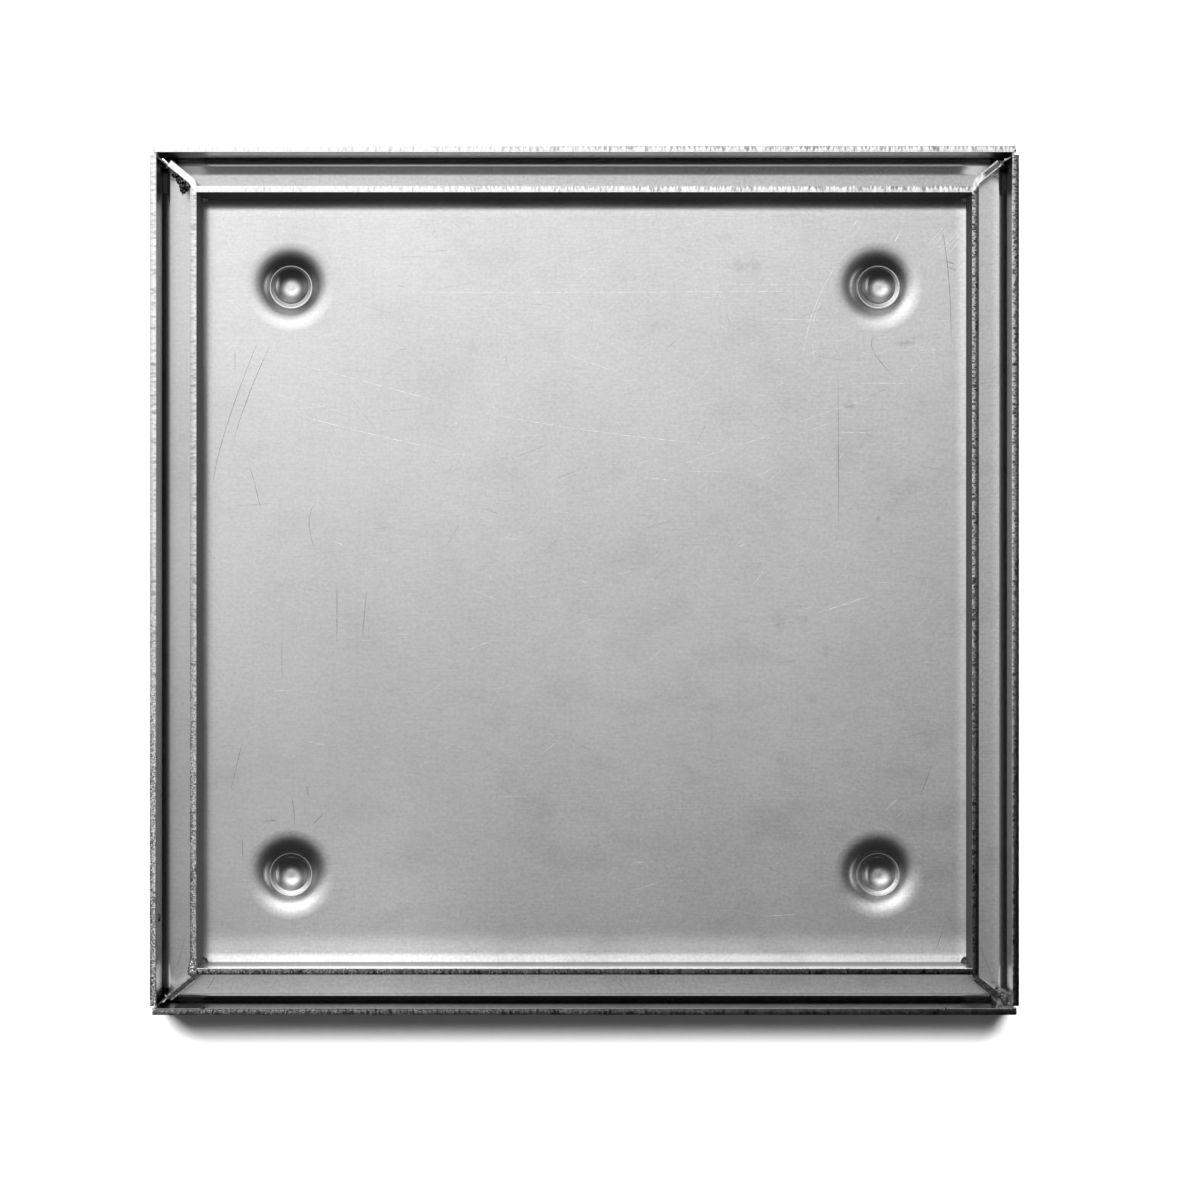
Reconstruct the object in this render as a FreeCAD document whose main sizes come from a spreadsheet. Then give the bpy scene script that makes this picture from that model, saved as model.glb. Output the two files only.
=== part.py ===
import FreeCAD, Part
import math
import os

import Sketcher

# A square recessed paving cover of folded steel sheet, seen from above as it is used.
# The pan is one sheet: a floor with four walls folded up, and four feet pressed down in it.
# Four flat strips on edge stand on the floor and frame the bed of the paving. The ends of
# the left and right strips are bent outwards into the corners of the pan.
# X runs to the right, Y to the rear, Z up. The origin is under the middle of the cover,
# on the surface that the feet stand on.

DRIVING_SIZES = {
    "cover_side": 400.0,
    "sheet_thickness": 3.0,
    "bend_radius": 3.4,
    "inside_depth": 33.0,
    "side_wall_gap": 1.1,
    "end_wall_setback": 1.15,
    "mitre_slot": 0.6,
    "channel_width": 15.5,
    "strip_thickness": 3.0,
    "tab_length": 12.5,
    "tab_turn": 51.0,
    "tab_bend_radius": 2.0,
    "foot_spacing": 275.0,
    "foot_rim_radius": 20.2,
    "foot_depth": 2.25,
    "foot_slope": 24.0,
    "foot_rim_blend": 23.8,
    "foot_root_blend": 1.5,
    "lip_width": 0.35,
    "step_width": 1.3,
    "step_drop": 0.27,
    "cup_depth": 1.35,
    "rest_radius": 1.6,
    "tack_radius": 2.5,
    "weld_clearance": 0.3,
    "corner_weld_drop": 1.5,
}

DERIVED_SIZES = {
    "half_side": "cover_side / 2",
    "pan_height": "inside_depth + sheet_thickness",
    "outer_bend": "bend_radius + sheet_thickness",
    "wall_inner": "half_side - sheet_thickness",
    "side_wall_end": "wall_inner - side_wall_gap",
    "end_wall_end": "half_side - end_wall_setback",
    "past_corner": "half_side + sheet_thickness",
    "slot_offset": "mitre_slot / 2 / sqrt(2)",
    "slot_start": "half_side - outer_bend",
    "slot_start_near": "slot_start - slot_offset",
    "slot_start_far": "slot_start + slot_offset",
    "slot_end_near": "past_corner - slot_offset",
    "slot_end_far": "past_corner + slot_offset",
    "foot_centre": "foot_spacing / 2",
    "ring_half": "wall_inner - channel_width",
    "ring_inner": "ring_half - strip_thickness",
    "tab_outer_bend": "tab_bend_radius + strip_thickness",
    "tab_pivot": "ring_half + tab_bend_radius",
    "hollow_root_x": "tab_pivot - tab_bend_radius * cos(tab_turn)",
    "hollow_root_y": "ring_half + tab_bend_radius * sin(tab_turn)",
    "hollow_end_x": "hollow_root_x + tab_length * sin(tab_turn)",
    "hollow_end_y": "hollow_root_y + tab_length * cos(tab_turn)",
    "round_root_x": "tab_pivot - tab_outer_bend * cos(tab_turn)",
    "round_root_y": "ring_half + tab_outer_bend * sin(tab_turn)",
    "round_end_x": "round_root_x + tab_length * sin(tab_turn)",
    "round_end_y": "round_root_y + tab_length * cos(tab_turn)",
    "weld_reach_x": "wall_inner - round_end_x",
    "weld_reach_y": "wall_inner - round_end_y",
    "corner_weld_radius": "sqrt(weld_reach_x * weld_reach_x + weld_reach_y * weld_reach_y)"
                          " - weld_clearance",
}

FOOT_SIZES = {
    "cos_slope": "cos(foot_slope)",
    "sin_slope": "sin(foot_slope)",
    "floor_top": "sheet_thickness + 0",
    "rim_under": "foot_rim_blend - sheet_thickness",
    "root_under": "foot_root_blend + sheet_thickness",
    "rim_centre": "floor_top - foot_rim_blend",
    "ring_top": "floor_top - foot_depth",
    "root_centre": "ring_top + foot_root_blend",
    "cone_top_x": "foot_rim_radius - foot_rim_blend * sin_slope",
    "cone_top_y": "rim_centre + foot_rim_blend * cos_slope",
    "cone_low_y": "root_centre - foot_root_blend * cos_slope",
    "cone_low_x": "cone_top_x - (cone_top_y - cone_low_y) * cos_slope / sin_slope",
    "ring_radius": "cone_low_x - foot_root_blend * sin_slope",
    "lip_radius": "ring_radius - lip_width",
    "cup_radius": "lip_radius - step_width",
    "step_level": "ring_top - step_drop",
    "cup_floor": "step_level - cup_depth",
    "cup_sphere": "((cup_radius - rest_radius) * (cup_radius - rest_radius)"
                  " + cup_depth * cup_depth) / 2 / cup_depth",
    "cup_centre": "cup_floor + cup_sphere",
    "cup_under_centre": "cup_centre - sheet_thickness",
    "under_cone_top_x": "foot_rim_radius - rim_under * sin_slope",
    "under_cone_top_y": "rim_centre + rim_under * cos_slope",
    "under_cone_low_x": "ring_radius + root_under * sin_slope",
    "under_cone_low_y": "root_centre - root_under * cos_slope",
    "ring_under": "ring_top - sheet_thickness",
    "step_under": "step_level - sheet_thickness",
    "rest_level": "cup_floor - sheet_thickness",
    "pan_base": "0 - rest_level",
    "bed_level": "pan_base + sheet_thickness",
    "weld_height": "inside_depth - corner_weld_drop - bend_radius",
    "weld_level": "bed_level + bend_radius",
}


def make_sheet(doc):
    sheet = doc.addObject("Spreadsheet::Sheet", "sizes")
    row = 0
    for name, size in DRIVING_SIZES.items():
        row += 1
        sheet.set("A%d" % row, name)
        sheet.set("B%d" % row, str(size))
        sheet.setAlias("B%d" % row, name)
    for group in (DERIVED_SIZES, FOOT_SIZES):
        for name, formula in group.items():
            row += 1
            sheet.set("A%d" % row, name)
            sheet.set("B%d" % row, "=" + formula)
            sheet.setAlias("B%d" % row, name)
    doc.recompute()
    return sheet


def value(sheet, name):
    if name == "0":
        return 0.0
    if name.startswith("-"):
        return -float(getattr(sheet, name[1:]))
    return float(getattr(sheet, name))


def formula(name):
    if name.startswith("-"):
        return "-sizes." + name[1:]
    return "sizes." + name


def bind(sketch, constraint, name):
    index = sketch.addConstraint(constraint)
    if name != "0":
        sketch.setExpression("Constraints[%d]" % index, formula(name))


def pin_point(sketch, sheet, geometry, end, spot):
    x_name, y_name = spot
    across = Sketcher.Constraint("DistanceX", -1, 1, geometry, end, value(sheet, x_name))
    bind(sketch, across, x_name)
    along = Sketcher.Constraint("DistanceY", -1, 1, geometry, end, value(sheet, y_name))
    bind(sketch, along, y_name)


def arc_between(start, end, centre):
    # An arc runs anticlockwise from its first end to its second, the shorter way round.
    first = math.atan2(start.y - centre.y, start.x - centre.x)
    last = math.atan2(end.y - centre.y, end.x - centre.x)
    forward = (last - first) % (2 * math.pi) <= math.pi
    circle = Part.Circle(centre, FreeCAD.Vector(0, 0, 1), (start - centre).Length)
    if forward:
        return Part.ArcOfCircle(circle, first, last), 1, 2
    return Part.ArcOfCircle(circle, last, first), 2, 1


def draw_outline(sketch, sheet, corners, rounds=None):
    # A closed outline through named corners. A round is an edge that follows an arc: its key
    # is the corner that it starts from, and its value names the centre and the radius.
    rounds = rounds or {}
    spots = [FreeCAD.Vector(value(sheet, x), value(sheet, y), 0) for x, y in corners]
    edges = []
    for index, start in enumerate(spots):
        end = spots[(index + 1) % len(spots)]
        if index in rounds:
            centre_x, centre_y, radius = rounds[index]
            centre = FreeCAD.Vector(value(sheet, centre_x), value(sheet, centre_y), 0)
            curve, first, last = arc_between(start, end, centre)
            geometry = sketch.addGeometry(curve, False)
            bind(sketch, Sketcher.Constraint("Radius", geometry, value(sheet, radius)), radius)
        else:
            geometry = sketch.addGeometry(Part.LineSegment(start, end), False)
            first, last = 1, 2
        edges.append((geometry, first, last))
    for index, (geometry, first, last) in enumerate(edges):
        following, following_first, following_last = edges[(index + 1) % len(edges)]
        sketch.addConstraint(
            Sketcher.Constraint("Coincident", geometry, last, following, following_first))
        pin_point(sketch, sheet, geometry, first, corners[index])


def draw_circle(sketch, sheet, spot, radius):
    centre = FreeCAD.Vector(value(sheet, spot[0]), value(sheet, spot[1]), 0)
    circle = Part.Circle(centre, FreeCAD.Vector(0, 0, 1), value(sheet, radius))
    geometry = sketch.addGeometry(circle, False)
    bind(sketch, Sketcher.Constraint("Radius", geometry, value(sheet, radius)), radius)
    pin_point(sketch, sheet, geometry, 3, spot)


def origin_feature(body, role):
    for feature in body.Origin.OriginFeatures:
        if feature.Role == role:
            return feature
    raise ValueError("no origin feature " + role)


def new_body(doc, name, level):
    body = doc.addObject("PartDesign::Body", name)
    body.Label = name
    body.setExpression("Placement.Base.z", formula(level))
    return body


def new_sketch(body, name, plane="XY_Plane"):
    sketch = body.newObject("Sketcher::SketchObject", name)
    sketch.AttachmentSupport = (origin_feature(body, plane), [""])
    sketch.MapMode = "FlatFace"
    return sketch


def pad(body, sketch, name, length):
    feature = body.newObject("PartDesign::Pad", name)
    feature.Profile = sketch
    feature.setExpression("Length", formula(length))
    sketch.Visibility = False
    return feature


def cut_upwards(body, sketch, name, length):
    feature = body.newObject("PartDesign::Pocket", name)
    feature.Profile = sketch
    feature.Reversed = True
    feature.setExpression("Length", formula(length))
    sketch.Visibility = False
    return feature


def bottom_edges(shape):
    names = []
    for index, edge in enumerate(shape.Edges):
        if edge.BoundBox.ZMax < shape.BoundBox.ZMin + 0.001:
            names.append("Edge%d" % (index + 1))
    return names


def top_face(shape):
    heights = [face.CenterOfMass.z for face in shape.Faces]
    return "Face%d" % (heights.index(max(heights)) + 1)


def signed(sign, name):
    return name if sign > 0 else "-" + name


def every_corner():
    return [(1, 1), (-1, 1), (-1, -1), (1, -1)]


def make_folded_blank(doc, sheet, body):
    # The floor and its four walls, with the bend radius all round and closed corners.
    outline = new_sketch(body, "pan_outline")
    corners = [(signed(x, "half_side"), signed(y, "half_side")) for x, y in every_corner()]
    draw_outline(outline, sheet, corners)
    block = pad(body, outline, "pan_block", "pan_height")
    doc.recompute()
    bends = body.newObject("PartDesign::Fillet", "pan_bends")
    bends.Base = (block, bottom_edges(block.Shape))
    bends.setExpression("Radius", formula("outer_bend"))
    doc.recompute()
    hollow = body.newObject("PartDesign::Thickness", "pan_sheet")
    hollow.Base = (bends, [top_face(bends.Shape)])
    hollow.Mode = "Skin"
    hollow.Join = "Arc"
    hollow.Reversed = True
    hollow.setExpression("Value", formula("sheet_thickness"))
    doc.recompute()


def open_wall_corners(doc, sheet, body):
    # The front and rear walls pass the ends of the side walls, which stop short of them.
    outline = new_sketch(body, "wall_end_outline")
    outline.setExpression("AttachmentOffset.Base.z", formula("outer_bend"))
    gap = [("wall_inner", "side_wall_end"), ("past_corner", "side_wall_end"),
           ("past_corner", "past_corner"), ("end_wall_end", "past_corner"),
           ("end_wall_end", "wall_inner"), ("wall_inner", "wall_inner")]
    for x_sign, y_sign in every_corner():
        corners = [(signed(x_sign, x), signed(y_sign, y)) for x, y in gap]
        draw_outline(outline, sheet, corners)
    cut_upwards(body, outline, "wall_ends", "pan_height")
    doc.recompute()


def slit_bend_corners(doc, sheet, body):
    # Below the walls a thin mitre slot parts the two bends that meet at each corner.
    outline = new_sketch(body, "mitre_outline")
    slot = [("slot_start_far", "slot_start_near"), ("slot_end_far", "slot_end_near"),
            ("slot_end_near", "slot_end_far"), ("slot_start_near", "slot_start_far")]
    for x_sign, y_sign in every_corner():
        corners = [(signed(x_sign, x), signed(y_sign, y)) for x, y in slot]
        draw_outline(outline, sheet, corners)
    cut_upwards(body, outline, "mitre_slots", "outer_bend")
    doc.recompute()


def press_feet(doc, sheet, body):
    # Each foot is drawn from the floor itself: a rounded rim, a cone, a narrow lip, a step
    # that slopes inwards and a cup.
    openings = new_sketch(body, "foot_openings")
    for x_sign, y_sign in every_corner():
        spot = (signed(x_sign, "foot_centre"), signed(y_sign, "foot_centre"))
        draw_circle(openings, sheet, spot, "foot_rim_radius")
    cut_upwards(body, openings, "foot_holes", "sheet_thickness")
    section = new_sketch(body, "foot_section", "XZ_Plane")
    section.setExpression("AttachmentOffset.Base.x", formula("foot_centre"))
    section.setExpression("AttachmentOffset.Base.z", formula("foot_centre"))
    upper = [("foot_rim_radius", "floor_top"), ("cone_top_x", "cone_top_y"),
             ("cone_low_x", "cone_low_y"), ("ring_radius", "ring_top"),
             ("lip_radius", "ring_top"), ("cup_radius", "step_level"),
             ("rest_radius", "cup_floor"), ("0", "cup_floor")]
    under = [("0", "rest_level"), ("rest_radius", "rest_level"), ("cup_radius", "step_under"),
             ("lip_radius", "ring_under"), ("ring_radius", "ring_under"),
             ("under_cone_low_x", "under_cone_low_y"),
             ("under_cone_top_x", "under_cone_top_y"), ("foot_rim_radius", "0")]
    rounds = {
        0: ("foot_rim_radius", "rim_centre", "foot_rim_blend"),
        2: ("ring_radius", "root_centre", "foot_root_blend"),
        5: ("rest_radius", "cup_centre", "cup_sphere"),
        9: ("rest_radius", "cup_under_centre", "cup_sphere"),
        12: ("ring_radius", "root_centre", "root_under"),
        14: ("foot_rim_radius", "rim_centre", "rim_under"),
    }
    draw_outline(section, sheet, upper + under, rounds)
    foot = body.newObject("PartDesign::Revolution", "foot")
    foot.Profile = section
    foot.ReferenceAxis = (section, ["V_Axis"])
    foot.Angle = 360
    section.Visibility = False
    doc.recompute()
    feet = body.newObject("PartDesign::PolarPattern", "feet")
    feet.Originals = [foot]
    feet.Axis = (origin_feature(body, "Z_Axis"), [""])
    feet.Angle = 360
    feet.Occurrences = 4
    body.Tip = feet
    doc.recompute()


def make_pan(doc, sheet):
    body = new_body(doc, "pan", "pan_base")
    make_folded_blank(doc, sheet, body)
    open_wall_corners(doc, sheet, body)
    slit_bend_corners(doc, sheet, body)
    press_feet(doc, sheet, body)
    return body


def make_side_upstand(doc, sheet, name, side):
    # A strip with both ends bent outwards, so that they point into the pan's corners.
    body = new_body(doc, name, "bed_level")
    outline = new_sketch(body, name + "_outline")
    rear = [("ring_half", "ring_half"), ("hollow_root_x", "hollow_root_y"),
            ("hollow_end_x", "hollow_end_y"), ("round_end_x", "round_end_y"),
            ("round_root_x", "round_root_y"), ("ring_inner", "ring_half")]
    front = [(x, "-" + y) for x, y in reversed(rear)]
    corners = [(signed(side, x), y) for x, y in rear + front]
    pivot = signed(side, "tab_pivot")
    rounds = {
        0: (pivot, "ring_half", "tab_bend_radius"),
        4: (pivot, "ring_half", "tab_outer_bend"),
        6: (pivot, "-ring_half", "tab_outer_bend"),
        10: (pivot, "-ring_half", "tab_bend_radius"),
    }
    draw_outline(outline, sheet, corners, rounds)
    pad(body, outline, name + "_strip", "inside_depth")
    return body


def make_end_upstand(doc, sheet, name, side):
    # A straight strip that butts against the inner faces of the two side strips.
    body = new_body(doc, name, "bed_level")
    outline = new_sketch(body, name + "_outline")
    near = signed(side, "ring_inner")
    far = signed(side, "ring_half")
    corners = [("-ring_inner", near), ("ring_inner", near), ("ring_inner", far), ("-ring_inner", far)]
    draw_outline(outline, sheet, corners)
    pad(body, outline, name + "_strip", "inside_depth")
    return body


def place_in_corner(solid, x_sign, y_sign, reach, level):
    # Turned so that the quarter between local X and Y faces the middle of the cover.
    quarter_turns = {(-1, -1): 0, (1, -1): 1, (1, 1): 2, (-1, 1): 3}
    turn = FreeCAD.Rotation(FreeCAD.Vector(0, 0, 1), 90 * quarter_turns[(x_sign, y_sign)])
    solid.Placement = FreeCAD.Placement(FreeCAD.Vector(0, 0, 0), turn)
    solid.setExpression("Placement.Base.x", formula(signed(x_sign, reach)))
    solid.setExpression("Placement.Base.y", formula(signed(y_sign, reach)))
    solid.setExpression("Placement.Base.z", formula(level))


def make_tack_welds(doc):
    # One small bead low in each inner corner of the ring of strips.
    beads = []
    for number, (x_sign, y_sign) in enumerate(every_corner()):
        bead = doc.addObject("Part::Sphere", "tack_%d" % (number + 1))
        bead.setExpression("Radius", formula("tack_radius"))
        bead.Angle1 = 0
        bead.Angle2 = 90
        bead.Angle3 = 90
        place_in_corner(bead, x_sign, y_sign, "ring_inner", "bed_level")
        beads.append(bead)
    group = doc.addObject("Part::Compound", "tack_welds")
    group.Links = beads
    group.Label = "tack_welds"
    return group


def make_corner_weld(doc):
    # The seam that closes the front right corner of the pan, from the bends to near the rim.
    seam = doc.addObject("Part::Cylinder", "corner_weld")
    seam.Label = "corner_weld"
    seam.setExpression("Radius", formula("corner_weld_radius"))
    seam.setExpression("Height", formula("weld_height"))
    seam.Angle = 90
    place_in_corner(seam, 1, -1, "wall_inner", "weld_level")
    return seam


def check_document(doc, sub_parts):
    for item in doc.Objects:
        if "Invalid" in item.State or "Error" in item.State:
            raise ValueError("failed: " + item.Name)
    for sub_part in sub_parts:
        if sub_part.Shape.isNull() or not sub_part.Shape.isValid():
            raise ValueError("bad shape: " + sub_part.Label)


def main():
    doc = FreeCAD.newDocument("paving_cover")
    sheet = make_sheet(doc)
    sub_parts = [
        make_pan(doc, sheet),
        make_side_upstand(doc, sheet, "left_upstand", -1),
        make_side_upstand(doc, sheet, "right_upstand", 1),
        make_end_upstand(doc, sheet, "front_upstand", -1),
        make_end_upstand(doc, sheet, "rear_upstand", 1),
        make_tack_welds(doc),
        make_corner_weld(doc),
    ]
    doc.recompute()
    check_document(doc, sub_parts)
    os.makedirs("parts", exist_ok=True)
    for sub_part in sub_parts:
        sub_part.Shape.exportStep("parts/%s.step" % sub_part.Label)
    return doc


main()
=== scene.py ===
import math
import random

import bmesh
import bpy
from mathutils import Matrix, Vector, noise


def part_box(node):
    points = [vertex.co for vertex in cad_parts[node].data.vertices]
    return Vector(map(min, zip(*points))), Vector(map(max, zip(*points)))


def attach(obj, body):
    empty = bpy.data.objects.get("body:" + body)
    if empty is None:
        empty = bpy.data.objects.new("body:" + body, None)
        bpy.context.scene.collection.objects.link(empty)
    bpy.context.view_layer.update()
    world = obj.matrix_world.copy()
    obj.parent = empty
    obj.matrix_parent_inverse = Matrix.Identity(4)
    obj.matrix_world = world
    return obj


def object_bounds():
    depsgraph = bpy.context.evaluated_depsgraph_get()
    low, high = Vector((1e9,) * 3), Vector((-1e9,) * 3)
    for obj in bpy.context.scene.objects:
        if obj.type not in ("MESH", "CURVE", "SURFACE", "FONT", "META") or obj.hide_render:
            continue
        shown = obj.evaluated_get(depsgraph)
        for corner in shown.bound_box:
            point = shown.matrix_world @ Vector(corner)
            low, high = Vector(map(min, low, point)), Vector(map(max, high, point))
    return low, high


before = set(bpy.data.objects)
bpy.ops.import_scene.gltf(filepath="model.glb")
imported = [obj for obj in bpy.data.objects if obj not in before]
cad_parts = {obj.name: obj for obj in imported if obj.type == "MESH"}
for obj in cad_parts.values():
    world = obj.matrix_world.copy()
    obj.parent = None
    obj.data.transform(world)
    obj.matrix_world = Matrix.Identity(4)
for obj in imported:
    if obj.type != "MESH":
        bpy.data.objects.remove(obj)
cad_low, cad_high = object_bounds()

# Where the rim of the cover lies in the photograph, in pixels of its square frame.
FRAME_PX = 1181
RIM_WIDTH_PX = 869.3
RIM_CENTRE_PX = (584.4, 580.3)
CAMERA_RISE = 1.974
SENSOR = 0.036

SIDE = cad_high[0] - cad_low[0]
RIM = cad_high[2]
METRES_PER_PX = SIDE / RIM_WIDTH_PX
MIDDLE_PX = FRAME_PX / 2
CAMERA_X = (MIDDLE_PX - RIM_CENTRE_PX[0]) * METRES_PER_PX
CAMERA_Y = (RIM_CENTRE_PX[1] - MIDDLE_PX) * METRES_PER_PX

# Sizes of the sheet and the strips, taken from the frame.
ring_low, ring_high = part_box("front_upstand")
side_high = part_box("right_upstand")[1]
SHEET = ring_high[1] - ring_low[1]
RING_INNER = ring_high[0]
RING_OUTER = RING_INNER + SHEET
BED = ring_low[2]
WALL_INNER = SIDE / 2 - SHEET

# One pressed foot, from its middle outwards: the small rest, the bowl of the cup, the step
# and the lip around it, the cone, two points of its flare as a radius and a slope, and the rim.
# Faint rings run around it.
FOOT_CENTRE = 0.1375
REST_RADIUS = 0.0016
CUP_RADIUS = 0.0081
CUP_SLOPE = 0.48
STEP_SLOPE = 0.21
LIP_INNER = 0.0094
LIP_OUTER = 0.0098
LIP_SLOPE = 0.07
CONE_START = 0.0104
CONE_END = 0.0106
CONE_SLOPE = 0.445
FLARE = ((0.0140, 0.21), (0.0180, 0.055))
RIM_RADIUS = 0.0212
FOOT_REACH = 0.025
CUP_SHIFT = (0.0001, 0.0002)
STEEPEST = 0.5
RING_PITCH = 0.0007
RING_SLOPE = 0.025

# The bent ends of the side strips: how far they turn, where their tips lie, and the tones of
# their tops along the middle and along the edges.
TAB_TURN = math.radians(51)
TAB_TIP = (side_high[0] - SHEET / 2 * math.cos(TAB_TURN),
           side_high[1] - SHEET / 2 * math.sin(TAB_TURN))
TAB_TONES = {
    "rear_left": (0.80, 0.80),
    "rear_right": (0.14, 0.80),
    "front_left": (0.12, 0.55),
    "front_right": (0.05, 0.09),
}
TAB_ROOT_TONE = 0.85
TAB_SPECK_TONE = 0.55

# Each soft light of the studio: where its middle lies, as slopes away from straight up, its
# spread in the same terms, and its strength. The room is what is left around them, with a glow
# low down. Two boxes light the floor alone.
SOFT_LIGHTS = (
    ((-0.12, 0.24), (0.34, 0.284), 2.25),
    ((0.0, 0.95), (0.70, 0.45), 0.60),
    ((-1.1, 0.20), (0.50, 0.50), 0.35),
    ((1.1, 0.20), (0.50, 0.50), 0.30),
    ((0.72, 0.0), (0.10, 0.30), 1.0),
)
ROOM_LEVEL = 0.04
LOW_GLOW_RISE = 0.30
LOW_GLOW_REACH = 0.16
LOW_GLOW_LEVEL = 0.30
LOWEST_RISE = 0.05
TABLE_LAMP_PLACES = ((-3.2, 3.6, 8.0), (1.6, 3.6, 8.0))
TABLE_LAMP_SIZE = (3.0, 3.9)
TABLE_LAMP_POWER = 3500.0
FLOOR_GLOW = 0.02
FLOOR_WHITE = 0.30
FLOOR_REACH = 6.0

# How much light the clean sheet gives back and how much each layer of its finish varies that.
# Then how much darker its channels are, the painted shade in its outer corners, the painted light
# and shade on the inner faces of the walls, one factor a side, how the upright faces of the walls
# differ otherwise, and the painted shade in its bends.
STEEL = 0.62
MOTTLE_DEPTH = 0.40
STREAK_DEPTH = 0.05
BRUSHED_DEPTH = 0.22
CHANNEL_TONE = 0.84
CORNER_SHADE_TONE = 0.25
WALL_FACE_LIGHTING = {"left": 1.50, "right": 1.95, "front": 0.64, "rear": 1.25}
WALL_ROUGHNESS = 0.25
OUTSIDE_TONE = 0.34
BEND_SHADE = 0.43
FRONT_BEND_SHADE = 0.60

# Each strip's face: its tone, which holds painted light and shade for the way the face turns to
# the light, and its roughness, then the tone of its top, and the tones of the burr on it at the
# rear and at the front. The rear one's dark face is painted shade.
STRIP_FACES_AND_SHADE = {
    "left_upstand": (0.45, 0.65, 1.0, 0.92, 0.50),
    "right_upstand": (0.38, 0.65, 1.05, 0.75, 0.12),
    "front_upstand": (0.60, 0.38, 1.0, 0.92, 0.92),
    "rear_upstand": (0.18, 0.62, 1.0, 0.92, 0.92),
}
# The burr of the walls in the same terms, how much lighter the left wall's top is, and the
# strips' outer faces.
WALL_BURR = (0.92, 0.30)
LEFT_TOP_TONE = 1.15
OUTER_TONE = 0.95
OUTER_ROUGHNESS = 0.30
# The front strip's face has a band of polish along its top, and its paler tone there is a
# painted highlight.
POLISHED_DEPTH = 0.011
POLISHED_HIGHLIGHT_TONE = 0.97
POLISHED_ROUGHNESS = 0.22

# The sheared edges: how far down from the rim they reach, how far past a face a point may lie,
# the scales of their teeth and grains, how wide the burr is as a share of the sheet, how steep
# its round sides are, and how the rest tilts from the inner line to the outer one.
TOP_MARGIN = 0.00003
FACE_MARGIN = 0.0005
TEETH_SCALE = 900.0
GRAIN_SCALE = 1700.0
BURR_SHARE = 0.16
BURR_SLOPE = 0.26
EDGE_TILT = (0.02, 0.10)
EDGE_ROUGHNESS = 0.20

# How far the flat sheet leans, as slopes: where the welds drew it up beside the strips, across
# the channels, and close to the bends. Each pull comes with how far away it starts and how far
# away it is full. The rear strip pushed the sheet down instead. The walls open outwards by the
# last two slopes, from the bend to the rim.
SIDES = {"left": (-1.0, 0.0), "right": (1.0, 0.0), "front": (0.0, -1.0), "rear": (0.0, 1.0)}
RING_PULLS = (
    ("left", 0.010, 0.0060, 0.0015),
    ("right", 0.085, 0.0060, 0.0),
    ("front", 0.035, 0.0160, 0.0060),
    ("front", 0.065, 0.0050, 0.0022),
    ("rear", -0.028, 0.0090, 0.0040),
)
CHANNEL_BOW = 0.03
BEND_PULLS = (
    ("left", 0.05, 0.0036, 0.0),
    ("right", 0.05, 0.0036, 0.0),
    ("rear", 0.12, 0.0045, 0.0030),
)
BEND_START = WALL_INNER - 0.0034
BEND_FADE = 0.0016
WALL_LEANS = (0.125, 0.035)

# Marks on the flat sheet, as points in pixels of the photograph. A mark with three points is a
# smooth curve through them.
CLEAR_SCRATCHES = {
    "rear_line": ((338, 291.7), (585, 292.3), (831, 291)),
    "long_curve_start": ((285, 360.7), (380, 385.5), (447, 404.3)),
    "long_curve_end": ((461, 407.5), (585, 430), (732, 446)),
    "long_curve_fan": ((732, 446), (756, 440), (778, 431.7)),
    "left_curve": ((293, 413), (367, 433), (497, 461.7)),
    "left_stroke": ((328, 539.3), (348, 546.7)),
    "middle_stroke": ((562, 352.3), (585, 361), (623, 374)),
    "middle_dash": ((638, 477), (678, 480.8)),
    "right_bar": ((890, 350.7), (955, 349)),
    "right_bar_long": ((848, 383.3), (928, 383.3)),
    "right_bar_low": ((835, 432.3), (890, 433.3)),
    "foot_line": ((750, 318.3), (798, 319.7), (834, 320.2)),
    "foot_stroke": ((893.5, 244), (903, 226.7)),
    "crescent": ((838, 262), (813, 312), (803, 362)),
    "front_stroke": ((812, 615), (877, 593.3)),
}
FAINT_SCRATCHES = {
    "rear_twin": ((718, 284), (752, 284.3), (825, 285)),
    "rear_short": ((697, 297.7), (732, 297.7)),
    "rear_dash": ((762, 304.3), (775, 305)),
    "foot_line_end": ((926, 321), (955, 320.7)),
    "left_twin": ((267, 391.7), (360, 417)),
    "left_short": ((216, 340), (255, 351.7)),
    "left_tail": ((367, 553.3), (392, 562.3)),
    "middle_low": ((682, 471), (728, 471.7)),
    "fan_start": ((665, 470), (732, 446.7)),
    "fan_end": ((782, 428.3), (838, 408.3), (885, 395)),
    "fan_low": ((798, 434.3), (838, 420)),
    "right_line": ((865, 337.3), (905, 336.7)),
    "right_dash": ((833, 326.7), (852, 327.3)),
    "right_bar_last": ((848, 451.7), (888, 451.7)),
    "right_dash_low": ((808, 450.7), (823, 451.7)),
    "short_dash": ((768, 359), (785, 359.3)),
    "foot_tick": ((827, 331.7), (834, 320)),
    "rear_tick": ((865, 210), (851, 229)),
    "crescent_inner": ((825, 292), (812, 340), (827, 385)),
    "front_foot_stroke": ((895, 819.3), (907, 806.7)),
    "front_foot_twin": ((882, 813.3), (900, 796.7)),
    "middle_tick": ((738, 546.7), (747, 543.3)),
    "right_rise": ((867, 557.7), (897, 545)),
    "left_low_dash": ((357, 641), (377, 639.7)),
    "left_low_bar": ((272, 691), (292, 690)),
    "middle_fall": ((467, 588.3), (503, 601.7)),
    "middle_fall_end": ((538, 614), (548, 618)),
    "left_fall": ((282, 600), (308, 615)),
    "left_fall_start": ((242, 589.3), (255, 594)),
    "front_rise": ((408, 708), (450, 677)),
    "strip_foot_line": ((230, 201.5), (272, 201.5)),
    "left_channel_bar": ((175, 432), (189, 432)),
    "front_channel_tick": ((616, 977), (623, 987)),
    "front_channel_twin": ((621, 976.5), (628, 988)),
    "front_channel_last": ((652, 979), (658, 987)),
    "rear_channel_tick": ((924, 184), (931, 178)),
}
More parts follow.
